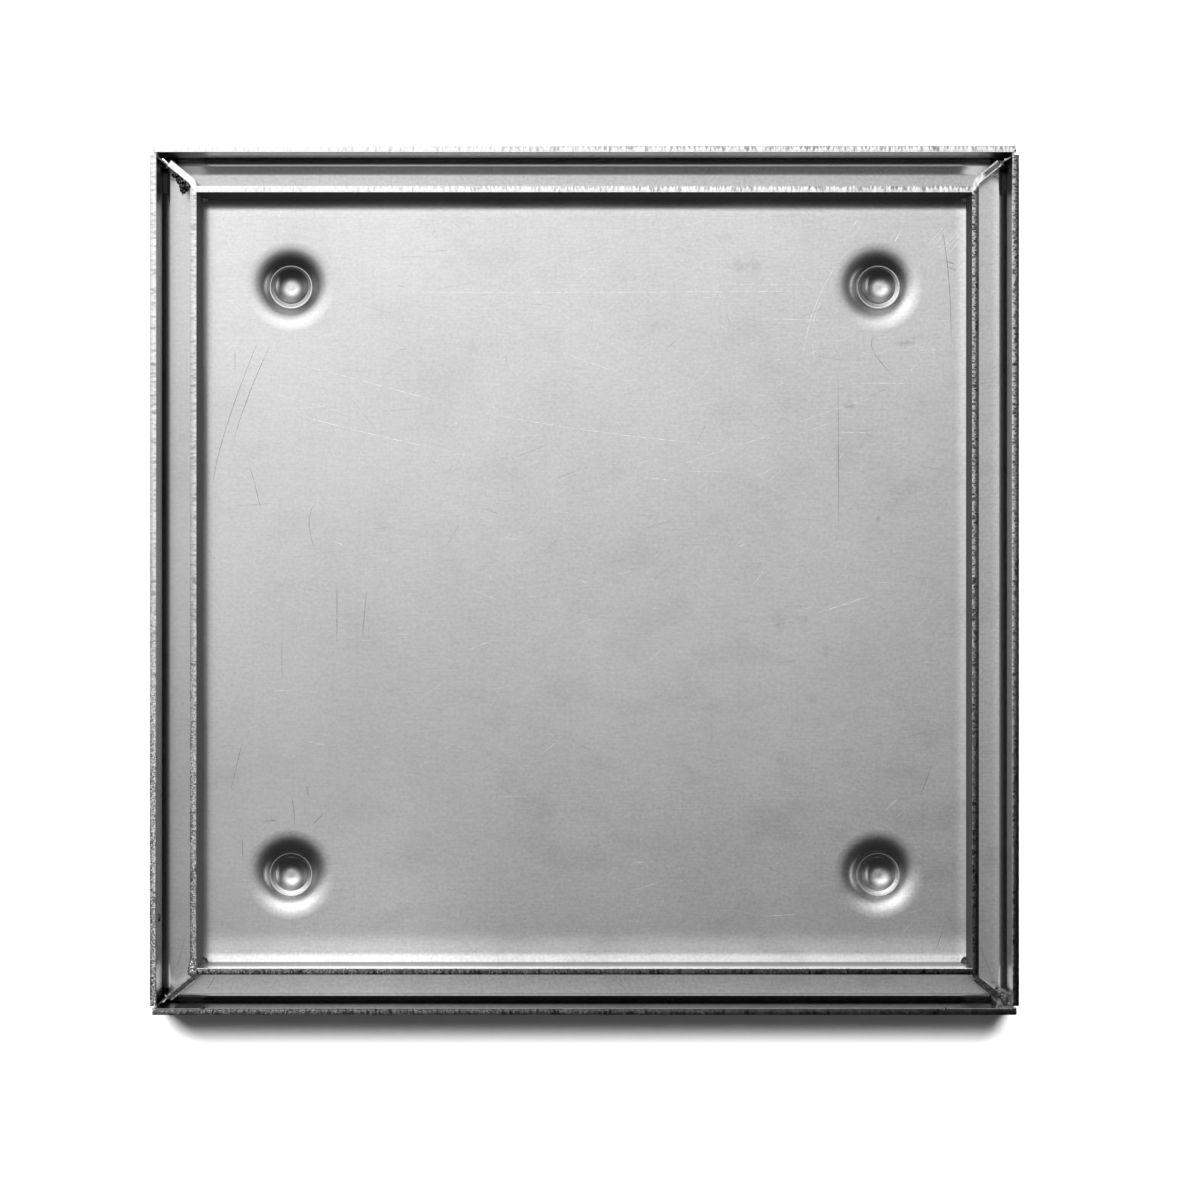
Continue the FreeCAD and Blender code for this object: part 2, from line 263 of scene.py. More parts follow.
DARK_SCRATCHES = {
    "left_long": ((262, 331.7), (227, 425), (213, 485)),
    "left_long_twin": ((272, 341.7), (250, 392), (232, 445)),
    "left_upright": ((235, 347), (235, 375)),
    "left_low": ((248, 461.7), (255, 485), (262, 515)),
    "left_hook": ((315, 501.7), (309, 525), (317, 553)),
    "right_edge": ((941, 222), (949, 282), (951, 347)),
    "right_edge_dash": ((945, 261), (957, 265)),
    "right_edge_twin": ((947, 266.7), (957, 271)),
    "right_upright": ((838, 368.3), (839, 542)),
    "front_upright": ((337, 580), (337, 645)),
    "front_upright_twin": ((367, 586.7), (362, 640)),
    "front_upright_last": ((282, 637), (282, 683)),
    "front_left_slope": ((243, 740), (230, 793)),
    "front_foot_long": ((291.7, 793.3), (295.5, 825)),
    "front_foot_short": ((305.7, 783.3), (309, 798.3)),
    "front_foot_rise": ((312, 826), (325, 811.7)),
    "front_foot_side": ((241.7, 836.7), (243.3, 860)),
    "front_foot_bar": ((262, 821.7), (278, 820)),
    "rear_foot_hook": ((878, 335), (872.5, 350), (898, 380)),
    "right_fall": ((933, 761.7), (920, 798.3)),
    "corner_tick": ((947, 916.7), (952, 921.7)),
    "corner_rise": ((935, 951.7), (943, 930)),
    "left_channel_long": ((176, 972), (187, 930.3)),
    "front_channel_dark": ((207, 990), (216, 975.5)),
    "right_channel_long": ((979, 944), (993, 979)),
}
# A bundle of like strokes near the rear right corner: its first stroke, and the step to the next.
BUNDLE_STROKE = ((923, 250), (948, 222))
BUNDLE_STEP = (3.0, 1.2)
BUNDLE_COUNT = 8
HAIRLINES = 240
HAIRLINE_HALVES = (0.002, 0.011)

# A cleaner patch of the sheet: its middle and half sizes in pixels, and how much brighter it is.
CLEAN_MIDDLE = (360, 930)
CLEAN_REACH = (125, 100)
CLEAN_GAIN = 0.26

# Stains on the flat sheet: the middle and the half sizes in pixels, and how dark each is. The
# last two darken the inner corners at the front: weld burns, with painted shade where the strips
# meet the sheet.
STAINS = {
    "rear_sweep": ((747, 265), (15, 5), 0.13),
    "rear_blot": ((722, 237), (10, 4), 0.09),
    "rear_haze": ((693, 250), (12, 9), 0.05),
    "middle_haze": ((655, 325), (15, 6), 0.06),
    "bruise": ((848, 406), (6, 2), 0.22),
    "smear": ((905, 343), (9, 3), 0.20),
    "smear_top": ((914, 338), (8, 2.5), 0.16),
    "fleck": ((878, 519), (2.5, 2.5), 0.24),
    "spot": ((778, 622), (5, 5), 0.12),
    "spot_near": ((803, 619), (6, 5), 0.10),
    "spot_low": ((827, 652), (5, 4), 0.12),
    "spot_last": ((812, 700), (5, 4), 0.08),
    "left_spot": ((474, 347), (5, 4), 0.10),
    "wide_haze": ((735, 480), (24, 12), 0.05),
    "left_burn_and_shade": ((201, 962), (6, 6), 0.88),
    "right_burn_and_shade": ((965.5, 964), (5.5, 5.5), 0.80),
}

# How scratches are formed, in metres, and the way towards the main light.
CLEAR_WIDTH = 0.00022
FAINT_WIDTH = 0.00014
DARK_WIDTH = 0.00026
SCRATCH_SLOPE = 0.045
SCRATCH_SINK = 0.000002
SCRATCH_STEP = 0.004
TO_LIGHT = Vector((-0.45, 0.9, 0.0))

# Weld metal and spatter: places in pixels of the photograph, then sizes in metres.
DEBRIS_START = (174.5, 171.5)
DEBRIS_END = (190.0, 186.0)
DEBRIS_HAIR = ((182.0, 187.0), (182.8, 194.0))
DEBRIS_LUMPS = 46
DEBRIS_SPREAD = 0.0044
DEBRIS_DROP = (0.0004, 0.0050)
DEBRIS_SIZE = (0.0005, 0.0011)
HAIR_BEADS = 6
HAIR_SIZE = 0.00075
DROPLET_START = (192.3, 962.5)
DROPLET_END = (192.3, 973.0)
DROPLET_BEADS = 5
DROPLET_SIZE = 0.0012
CROWN_MIDDLE = (1004.5, 1000.0)
CROWN_BEADS = 7
CROWN_RADII = (0.0017, 0.0014, 0.0010)
MITRE_TACKS = {"rear_left": ((157.5, 156.8), (168.0, 165.8)),
               "rear_right": ((1011.5, 156.5), (1001.5, 162.8)),
               "front_left": ((156.8, 1006.0), (167.0, 996.8))}
TACK_DEPTH = 0.0012
STAR_RADII = (0.0015, 0.0005, 0.0006)
RIM_BEADS = {"front_bead": (203.0, 1008.5), "front_right_bead": (945.0, 1009.0)}
RIM_BEAD_RADII = (0.0008, 0.0006, 0.0004)
WALL_SPATTER = (160.0, 917.5)
WALL_SPATTER_DROP = 0.012
WALL_SPATTER_RADII = (0.0009, 0.0018, 0.0016)


class Graph:
    # The node tree of a material or a world, with a short call for each kind of node.
    def __init__(self, tree):
        self.tree = tree
        tree.nodes.clear()

    def node(self, kind, **settings):
        made = self.tree.nodes.new("ShaderNode" + kind)
        for name, setting in settings.items():
            setattr(made, name, setting)
        return made

    def feed(self, socket, source):
        if isinstance(source, bpy.types.NodeSocket):
            self.tree.links.new(source, socket)
        else:
            socket.default_value = source

    def math(self, operation, *sources):
        made = self.node("Math", operation=operation)
        for socket, source in zip(made.inputs, sources):
            self.feed(socket, source)
        return made.outputs["Value"]

    def product(self, *sources):
        result = sources[0]
        for source in sources[1:]:
            result = self.math("MULTIPLY", result, source)
        return result

    def centred(self, share):
        return self.math("SUBTRACT", share, 0.5)

    def rest(self, share):
        return self.math("SUBTRACT", 1.0, share)

    def remap(self, value, low, high, new_low=0.0, new_high=1.0, shape="SMOOTHSTEP"):
        made = self.node("MapRange", interpolation_type=shape)
        for socket, source in zip(made.inputs, (value, low, high, new_low, new_high)):
            self.feed(socket, source)
        return made.outputs["Result"]

    def blend(self, amount, first, second):
        made = self.node("Mix", data_type="FLOAT")
        self.feed(made.inputs[0], amount)
        self.feed(made.inputs[2], first)
        self.feed(made.inputs[3], second)
        return made.outputs[0]

    def blend_vectors(self, amount, first, second):
        made = self.node("Mix", data_type="VECTOR")
        self.feed(made.inputs[0], amount)
        self.feed(made.inputs[4], first)
        self.feed(made.inputs[5], second)
        return made.outputs[1]

    def vector(self, x, y, z):
        made = self.node("CombineXYZ")
        for socket, source in zip(made.inputs, (x, y, z)):
            self.feed(socket, source)
        return made.outputs["Vector"]

    def split(self, vector):
        made = self.node("SeparateXYZ")
        self.feed(made.inputs["Vector"], vector)
        return made.outputs["X"], made.outputs["Y"], made.outputs["Z"]

    def stretched(self, vector, factors, turn=0.0):
        made = self.node("Mapping")
        self.feed(made.inputs["Vector"], vector)
        made.inputs["Rotation"].default_value = (0.0, 0.0, turn)
        made.inputs["Scale"].default_value = factors
        return made.outputs["Vector"]

    def noise(self, vector, scale, detail=2.0):
        made = self.node("TexNoise")
        self.feed(made.inputs["Vector"], vector)
        made.inputs["Scale"].default_value = scale
        made.inputs["Detail"].default_value = detail
        return made.outputs["Fac"]

    def curve(self, value, points):
        made = self.node("FloatCurve")
        line = made.mapping.curves[0]
        while len(line.points) < len(points):
            line.points.new(0.5, 0.5)
        for point, spot in zip(line.points, points):
            point.location = spot
            point.handle_type = "VECTOR"
        made.mapping.update()
        self.feed(made.inputs["Value"], value)
        return made.outputs["Value"]

    def normalized(self, vector):
        made = self.node("VectorMath", operation="NORMALIZE")
        self.feed(made.inputs[0], vector)
        return made.outputs["Vector"]

    def unit(self, x, y):
        return self.normalized(self.vector(x, y, 1.0))

    def leaned(self, normal, x, y, rise):
        # The normal, tipped by slopes that count in full only where it points up or down, and
        # raised where it points aside.
        up = self.split(normal)[2]
        made = self.node("VectorMath", operation="ADD")
        self.feed(made.inputs[0], normal)
        self.feed(made.inputs[1], self.vector(self.product(x, up), self.product(y, up), rise))
        return self.normalized(made.outputs["Vector"])

    def bump(self, height, distance, normal):
        made = self.node("Bump")
        made.inputs["Distance"].default_value = distance
        self.feed(made.inputs["Height"], height)
        self.feed(made.inputs["Normal"], normal)
        return made.outputs["Normal"]

    def finish_metal(self, colour, roughness, normal):
        shader = self.node("BsdfPrincipled")
        shader.inputs["Metallic"].default_value = 1.0
        self.feed(shader.inputs["Base Color"], colour)
        self.feed(shader.inputs["Roughness"], roughness)
        self.feed(shader.inputs["Normal"], normal)
        output = self.node("OutputMaterial")
        self.tree.links.new(shader.outputs["BSDF"], output.inputs["Surface"])


class Place:
    # Where a point of the steel lies, as node outputs that the finishes share.
    def __init__(self, graph):
        self.point = graph.node("TexCoord").outputs["Object"]
        self.x, self.y, self.z = graph.split(self.point)
        self.far_x = graph.math("ABSOLUTE", self.x)
        self.far_y = graph.math("ABSOLUTE", self.y)
        self.side_x = graph.math("SIGN", self.x)
        self.side_y = graph.math("SIGN", self.y)
        self.normal = graph.node("NewGeometry").outputs["Normal"]
        self.farther = graph.math("MAXIMUM", self.far_x, self.far_y)
        self.on_side = graph.math("GREATER_THAN", self.far_x, self.far_y)
        self.on_right = graph.product(self.on_side, graph.math("GREATER_THAN", self.x, 0.0))
        self.on_top = graph.math("GREATER_THAN", self.z, RIM - TOP_MARGIN)
        self.to_front_right = graph.math("SUBTRACT", self.x, self.y)

    def towards(self, graph, side):
        way_x, way_y = SIDES[side]
        return graph.math("ADD", graph.product(self.x, way_x), graph.product(self.y, way_y))


def make_camera():
    # Straight above, with the cover a little to the left of and above the middle of the frame.
    data = bpy.data.cameras.new("photo_camera")
    data.sensor_width = SENSOR * 1000
    data.lens = SENSOR * 1000 * CAMERA_RISE / (FRAME_PX * METRES_PER_PX)
    camera = bpy.data.objects.new("photo_camera", data)
    camera.location = (CAMERA_X, CAMERA_Y, RIM + CAMERA_RISE)
    bpy.context.scene.collection.objects.link(camera)
    bpy.context.scene.camera = camera


def at_pixel(across, down, level):
    # The point at a height above the ground that shows at a pixel of the photograph.
    scale = METRES_PER_PX * (RIM + CAMERA_RISE - level) / CAMERA_RISE
    x = CAMERA_X + (across - MIDDLE_PX) * scale
    y = CAMERA_Y + (MIDDLE_PX - down) * scale
    return Vector((x, y, level))


def make_table_lamps(floor):
    # Two soft boxes that light the floor alone, as a studio lights its white table. Each one
    # brightens its own end of the shadow.
    data = bpy.data.lights.new("table_lamp", "AREA")
    data.shape = "RECTANGLE"
    data.size = TABLE_LAMP_SIZE[0]
    data.size_y = TABLE_LAMP_SIZE[1]
    data.energy = TABLE_LAMP_POWER
    lit = bpy.data.collections.new("lit_by_table_lamps")
    lit.objects.link(floor)
    for place in TABLE_LAMP_PLACES:
        lamp = bpy.data.objects.new("table_lamp", data)
        lamp.location = place
        lamp.rotation_euler = (-Vector(place)).to_track_quat("-Z", "Y").to_euler()
        bpy.context.scene.collection.objects.link(lamp)
        lamp.light_linking.receiver_collection = lit


def bell(graph, value, centre, width):
    shifted = graph.math("SUBTRACT", value, centre)
    scaled = graph.math("DIVIDE", shifted, width)
    squared = graph.math("MULTIPLY", scaled, scaled)
    return graph.math("EXPONENT", graph.math("MULTIPLY", squared, -1.0))


def make_world():
    # White where the camera looks past the floor. For all else it is a studio with one large
    # soft light, overhead towards the rear, that fades out over the dim room, and a faint glow
    # all around, low down.
    world = bpy.data.worlds.new("studio")
    world.use_nodes = True
    graph = Graph(world.node_tree)
    direction = graph.node("TexCoord").outputs["Generated"]
    across, along, up = graph.split(direction)
    rise = graph.math("MAXIMUM", up, LOWEST_RISE)
    across = graph.math("DIVIDE", across, rise)
    along = graph.math("DIVIDE", along, rise)
    total = ROOM_LEVEL
    for centre, widths, strength in SOFT_LIGHTS:
        light = graph.product(bell(graph, across, centre[0], widths[0]),
                              bell(graph, along, centre[1], widths[1]), strength)
        total = graph.math("ADD", total, light)
    low_glow = graph.product(bell(graph, up, LOW_GLOW_RISE, LOW_GLOW_REACH), LOW_GLOW_LEVEL)
    total = graph.math("ADD", total, low_glow)
    studio = graph.node("Background")
    graph.feed(studio.inputs["Strength"], total)
    white = graph.node("Background")
    white.inputs["Color"].default_value = (1.0, 1.0, 1.0, 1.0)
    path = graph.node("LightPath")
    mix = graph.node("MixShader")
    output = graph.node("OutputWorld")
    graph.feed(mix.inputs["Fac"], path.outputs["Is Camera Ray"])
    graph.feed(mix.inputs[1], studio.outputs["Background"])
    graph.feed(mix.inputs[2], white.outputs["Background"])
    graph.feed(output.inputs["Surface"], mix.outputs["Shader"])
    bpy.context.scene.world = world


def new_material(name):
    material = bpy.data.materials.new(name)
    material.use_nodes = True
    return material, Graph(material.node_tree)


def make_floor():
    mesh = bpy.data.meshes.new("floor")
    corners = [(FLOOR_REACH * x, FLOOR_REACH * y, 0) for x, y in ((-1, -1), (1, -1), (1, 1), (-1, 1))]
    mesh.from_pydata(corners, [], [(0, 1, 2, 3)])
    floor = bpy.data.objects.new("floor", mesh)
    bpy.context.scene.collection.objects.link(floor)
    material, graph = new_material("white_floor")
    path = graph.node("LightPath")
    seen = graph.math("MAXIMUM", path.outputs["Is Camera Ray"], path.outputs["Is Glossy Ray"])
    diffuse = graph.node("BsdfDiffuse")
    diffuse.inputs["Color"].default_value = (FLOOR_WHITE, FLOOR_WHITE, FLOOR_WHITE, 1.0)
    glow = graph.node("Emission")
    graph.feed(glow.inputs["Strength"], graph.product(seen, FLOOR_GLOW))
    add = graph.node("AddShader")
    output = graph.node("OutputMaterial")
    graph.feed(add.inputs[0], diffuse.outputs["BSDF"])
    graph.feed(add.inputs[1], glow.outputs["Emission"])
    graph.feed(output.inputs["Surface"], add.outputs["Shader"])
    mesh.materials.append(material)
    return floor


def sheared_edge(graph, place, inner, top_tone, rear_burr, front_burr):
    # The cut edge on top of a wall or strip. The shear left it tilting outwards, with a comb of
    # fine teeth across its outer half and a bright burr, round on top, along its inner line. The
    # comb is deepest on the right and faint at the rear left. The edge gets grainier towards the
    # front, darker towards the front right and a little lighter towards the rear.
    across = graph.math("DIVIDE", graph.math("SUBTRACT", place.farther, inner), SHEET)
    on_edge = graph.math("LESS_THAN", across, 1.02)
    forward = graph.remap(place.y, 0.06, -0.17)
    along = graph.blend(place.on_side, place.x, place.y)
    lane = graph.vector(along, graph.product(place.farther, 0.3), place.on_side)
    teeth = graph.noise(lane, TEETH_SCALE, 2.0)
    grains = graph.noise(place.point, GRAIN_SCALE, 2.0)
    stretches = graph.remap(graph.noise(lane, 90.0, 2.0), 0.42, 0.60, 0.55, 1.0)
    on_burr = graph.math("LESS_THAN", across, BURR_SHARE)
    tilt = graph.blend(
        on_burr, graph.remap(across, BURR_SHARE, 1.0, *EDGE_TILT, "LINEAR"),
        graph.remap(across, 0.0, BURR_SHARE, -BURR_SLOPE, BURR_SLOPE, "LINEAR"))
    tilt = graph.product(tilt, on_edge)
    ripple = graph.product(graph.centred(teeth), graph.blend(place.on_right, 0.30, 1.10))
    speckle = graph.product(graph.centred(grains), forward, 0.60)
    lean_x = graph.blend(place.on_side, ripple, graph.product(tilt, place.side_x))
    lean_y = graph.blend(place.on_side, graph.product(tilt, place.side_y), ripple)
    normal = graph.unit(graph.math("ADD", lean_x, speckle), graph.math("ADD", lean_y, speckle))
    jagged = graph.math("ADD", across, graph.product(graph.centred(teeth), 3.0))
    jagged = graph.math("ADD", jagged, graph.product(place.on_right, 0.18))
    depth = graph.product(
        graph.math("MAXIMUM", graph.blend(forward, 0.50, 0.80), graph.product(place.on_right, 0.92)),
        graph.remap(place.to_front_right, -0.38, -0.02, 0.15, 1.0))
    stretches = graph.math("MAXIMUM", stretches, graph.product(place.on_right, 0.9))
    dark = graph.product(graph.remap(jagged, 0.55, 0.90), stretches, depth)
    rear_gain = graph.remap(place.y, -0.2, 0.2, 0.95, 1.10, "LINEAR")
    front_right_dimming = graph.product(graph.remap(place.y, 0.08, -0.19, 0.0, 0.85),
                           graph.remap(place.x, -0.19, 0.19, 0.0, 1.0, "LINEAR"))
    kept = graph.product(graph.rest(front_right_dimming), rear_gain, top_tone)
    colour = graph.product(graph.rest(dark), kept, STEEL)
    burr_tone = graph.blend(forward, rear_burr, front_burr)
    colour = graph.blend(on_burr, colour, burr_tone)
    colour = graph.blend(on_edge, tab_tone(graph, place, grains), colour)
    return colour, EDGE_ROUGHNESS, normal


def tab_tone(graph, place, grains):
    # The tops of the four bent ends. The rear left one is clean. The others are burnt along the
    # middle between lighter edges, and the rear right one is clean again at its root.
    off_x = graph.math("SUBTRACT", place.far_x, TAB_TIP[0])
    off_y = graph.math("SUBTRACT", place.far_y, TAB_TIP[1])
    aside = graph.math("ABSOLUTE", graph.math(
        "SUBTRACT", graph.product(off_x, math.cos(TAB_TURN)),
        graph.product(off_y, math.sin(TAB_TURN))))
    from_tip = graph.product(graph.math("ADD", graph.product(off_x, math.sin(TAB_TURN)),
                                        graph.product(off_y, math.cos(TAB_TURN))), -1.0)
    at_rear = graph.math("GREATER_THAN", place.y, 0.0)
    at_left = graph.math("LESS_THAN", place.x, 0.0)
    middle, edges = (
        graph.blend(at_rear,
                    graph.blend(at_left, TAB_TONES["front_right"][part], TAB_TONES["front_left"][part]),
                    graph.blend(at_left, TAB_TONES["rear_right"][part], TAB_TONES["rear_left"][part]))
        for part in (0, 1))
    clean_root = graph.product(graph.remap(from_tip, 0.0075, 0.0105), at_rear, graph.rest(at_left))
    middle = graph.blend(clean_root, middle, TAB_ROOT_TONE)
    specks = graph.product(graph.remap(grains, 0.56, 0.64), graph.rest(at_rear), graph.rest(at_left))
    middle = graph.blend(specks, middle, TAB_SPECK_TONE)
    return graph.blend(graph.remap(aside, 0.0008, 0.0012), middle, edges)


def length_of(graph, x, y):
    return graph.math("SQRT", graph.math("ADD", graph.product(x, x), graph.product(y, y)))


def pressed_feet(graph, place):
    # How far a point lies from the middle of the nearest foot, and how the steel leans there. The
    # cup sits a little off the middle of its foot.
    off_x = graph.product(graph.math("SUBTRACT", place.far_x, FOOT_CENTRE), place.side_x)
    off_y = graph.product(graph.math("SUBTRACT", place.far_y, FOOT_CENTRE), place.side_y)
    distance = length_of(graph, off_x, off_y)
    cup_x = graph.math("SUBTRACT", off_x, CUP_SHIFT[0])
    cup_y = graph.math("SUBTRACT", off_y, CUP_SHIFT[1])
    cup_distance = length_of(graph, cup_x, cup_y)
    in_cup = graph.math("LESS_THAN", cup_distance, CUP_RADIUS)
    spots = [(0.0, STEP_SLOPE), (LIP_INNER, STEP_SLOPE), (LIP_INNER + 0.00015, LIP_SLOPE),
             (LIP_OUTER, LIP_SLOPE), (CONE_START, CONE_SLOPE), (CONE_END, CONE_SLOPE),
             *FLARE, (RIM_RADIUS, 0.0), (FOOT_REACH, 0.0)]
    points = [(radius / FOOT_REACH, slope / STEEPEST) for radius, slope in spots]
    share = graph.math("MINIMUM", graph.math("DIVIDE", distance, FOOT_REACH), 1.0)
    slope = graph.product(graph.curve(share, points), STEEPEST)
    slope = graph.blend(in_cup, slope, graph.remap(cup_distance, REST_RADIUS, CUP_RADIUS, 0.0,
                                                   CUP_SLOPE, "LINEAR"))
    rings = graph.math("SINE", graph.product(distance, 2 * math.pi / RING_PITCH))
    slope = graph.math("ADD", slope, graph.product(rings, RING_SLOPE, graph.remap(share, 0.6, 0.3)))
    from_middle = graph.blend(in_cup, distance, cup_distance)
    lean = graph.math("DIVIDE", graph.product(slope, -1.0),
                      graph.math("MAXIMUM", from_middle, 0.0002))
    normal = graph.unit(graph.product(lean, graph.blend(in_cup, off_x, cup_x)),
                        graph.product(lean, graph.blend(in_cup, off_y, cup_y)))
    inside = graph.product(graph.math("LESS_THAN", distance, FOOT_REACH),
                           graph.math("GREATER_THAN", graph.split(place.normal)[2], 0.5))
    return distance, inside, normal


def drawn_up(graph, place, upright):
    # How far the welds and the bends tip the flat sheet, and how far the walls open outwards.
    on_bed = graph.math("LESS_THAN", place.farther, RING_INNER)
    in_channel = graph.product(
        graph.rest(on_bed),
        graph.remap(place.farther, BEND_START, BEND_START + BEND_FADE, 1.0, 0.0))
    bow = graph.product(in_channel, graph.remap(place.farther, RING_OUTER, BEND_START, 0.0,
                                                -CHANNEL_BOW, "LINEAR"))
    lean_x = graph.product(bow, place.side_x, place.on_side)
    lean_y = graph.product(bow, place.side_y, graph.rest(place.on_side))
    for pulls, limit, region in ((RING_PULLS, RING_INNER, on_bed),
                                 (BEND_PULLS, BEND_START, in_channel)):
        for side, pull, start, full in pulls:
            way_x, way_y = SIDES[side]
            near = graph.remap(place.towards(graph, side), limit - start, limit - full)
            lean = graph.product(near, region, -pull)
            lean_x = graph.math("ADD", lean_x, graph.product(lean, way_x))
            lean_y = graph.math("ADD", lean_y, graph.product(lean, way_y))
    on_wall = graph.product(upright, graph.math("LESS_THAN", place.farther, WALL_INNER + FACE_MARGIN))
    opening = graph.remap(place.z, BED + 0.003, RIM, *WALL_LEANS, "LINEAR")
    return graph.leaned(place.normal, lean_x, lean_y, graph.product(on_wall, opening))


def add_stains(graph, place, colour):
    ragged = graph.remap(graph.noise(place.point, 330.0, 3.0), 0.3, 0.7, -0.5, 0.7)
    for (across, down), reach, depth in STAINS.values():
        middle = at_pixel(across, down, BED)
        off_x = graph.math("DIVIDE", graph.math("SUBTRACT", place.x, middle.x),
                           reach[0] * METRES_PER_PX)
        off_y = graph.math("DIVIDE", graph.math("SUBTRACT", place.y, middle.y),
                           reach[1] * METRES_PER_PX)
        distance = length_of(graph, off_x, off_y)
        share = graph.remap(graph.math("ADD", distance, ragged), 1.8, 0.1, 0.0, depth)
        colour = graph.product(colour, graph.rest(share))
    return colour


def sheet_tone(graph, place, patches, clouds, mottle):
    # Satin mill finish: clouds from rolling and handling, fine mottle, faint streaks one way and
    # fine brushing the other, with a cleaner patch, darker channels and painted shade in the outer
    # corners. Handling and grain show more towards the front right.
    streaks = graph.noise(graph.stretched(place.point, (1.0, 0.02, 1.0)), 420.0, 3.0)
    brushed = graph.noise(graph.stretched(place.point, (0.08, 1.0, 1.0)), 1300.0, 2.0)
    handled = graph.remap(place.to_front_right, -0.1, 0.35, 0.04, 0.11)
    tone = graph.math("ADD", graph.remap(clouds, 0.3, 0.7, 0.955, 1.03),
                      graph.product(graph.remap(patches, 0.50, 0.70, 0.0, -1.0), handled))
    grain = graph.remap(place.to_front_right, -0.3, 0.2, 0.62, 1.0, "LINEAR")
    for layer, depth in ((mottle, graph.product(grain, MOTTLE_DEPTH)), (streaks, STREAK_DEPTH),
                         (brushed, graph.product(grain, BRUSHED_DEPTH))):
        tone = graph.math("ADD", tone, graph.product(graph.centred(layer), depth))
    # Painted shade in the outer corners of the channels, with a ragged edge.
    corner_x = graph.math("SUBTRACT", place.far_x, WALL_INNER)
    corner_y = graph.math("SUBTRACT", place.far_y, WALL_INNER)
    from_corner = length_of(graph, corner_x, corner_y)
    rough_edge = graph.math("ADD", from_corner, graph.product(patches, 0.006))
    corner_shade = graph.remap(rough_edge, 0.006, 0.014, CORNER_SHADE_TONE, 1.0)
    dull = graph.blend(graph.math("GREATER_THAN", place.farther, RING_INNER), 1.0, CHANNEL_TONE)
    clean = at_pixel(*CLEAN_MIDDLE, BED)
    cleaner = graph.product(
        bell(graph, place.x, clean.x, CLEAN_REACH[0] * METRES_PER_PX),
        bell(graph, place.y, clean.y, CLEAN_REACH[1] * METRES_PER_PX), CLEAN_GAIN)
    return graph.product(tone, corner_shade, dull, graph.math("ADD", cleaner, 1.0), STEEL)


def bend_shade(graph, place, flat):
    # Painted shade in the bends, in the flank of each and along the foot of the front one.
    in_bend = graph.math("GREATER_THAN", place.farther, RING_OUTER)
    flank = graph.product(graph.remap(flat, 0.97, 0.93), graph.remap(flat, 0.45, 0.75), in_bend)
    foot = graph.remap(place.towards(graph, "front"), BEND_START - 0.0008, BEND_START)
    return graph.product(graph.blend(flank, 1.0, BEND_SHADE), graph.blend(foot, 1.0, FRONT_BEND_SHADE))


def make_pan_sheet():
    # The folded sheet: its satin faces, its bends and walls, its pressed feet and its cut edges.
    material, graph = new_material("pan_sheet")
    place = Place(graph)
    clouds = graph.noise(place.point, 14.0, 4.0)
    patches = graph.noise(graph.stretched(place.point, (1.0, 1.6, 1.0), 0.5), 34.0, 5.0)
    mottle = graph.noise(place.point, 700.0, 3.0)
    colour = add_stains(graph, place, sheet_tone(graph, place, patches, clouds, mottle))
    roughness = graph.remap(clouds, 0.3, 0.7, 0.125, 0.15)
    flat = graph.math("ABSOLUTE", graph.split(place.normal)[2])
    upright = graph.remap(flat, 0.02, 0.10, 1.0, 0.0)
    roughness = graph.blend(upright, roughness, WALL_ROUGHNESS)
    colour = graph.product(colour, bend_shade(graph, place, flat))
    # Painted light and shade on the inner faces of the walls, one factor for each side.
    for side, face_lighting in WALL_FACE_LIGHTING.items():
        on_wall = graph.math("GREATER_THAN", place.towards(graph, side), WALL_INNER - FACE_MARGIN)
        colour = graph.product(colour, graph.blend(graph.product(on_wall, upright), 1.0, face_lighting))
    outside = graph.math("GREATER_THAN", place.farther, WALL_INNER + FACE_MARGIN)
    colour = graph.blend(graph.product(outside, upright), colour, OUTSIDE_TONE)
    distance, inside, foot_normal = pressed_feet(graph, place)
    polish = graph.remap(distance, CUP_RADIUS, LIP_INNER, 0.10, 0.16)
    roughness = graph.blend(inside, roughness, polish)
    normal = graph.blend_vectors(inside, drawn_up(graph, place, upright), foot_normal)
    left_wall = graph.product(place.on_side, graph.math("LESS_THAN", place.x, 0.0))
    top_tone = graph.blend(left_wall, 1.0, LEFT_TOP_TONE)
    edge_colour, edge_roughness, edge_normal = sheared_edge(graph, place, WALL_INNER, top_tone,
                                                            *WALL_BURR)
    colour = graph.blend(place.on_top, colour, edge_colour)
    roughness = graph.blend(place.on_top, roughness, edge_roughness)
    normal = graph.blend_vectors(place.on_top, normal, edge_normal)
    normal = graph.bump(mottle, 0.000002, normal)
    graph.finish_metal(colour, roughness, normal)
    return material


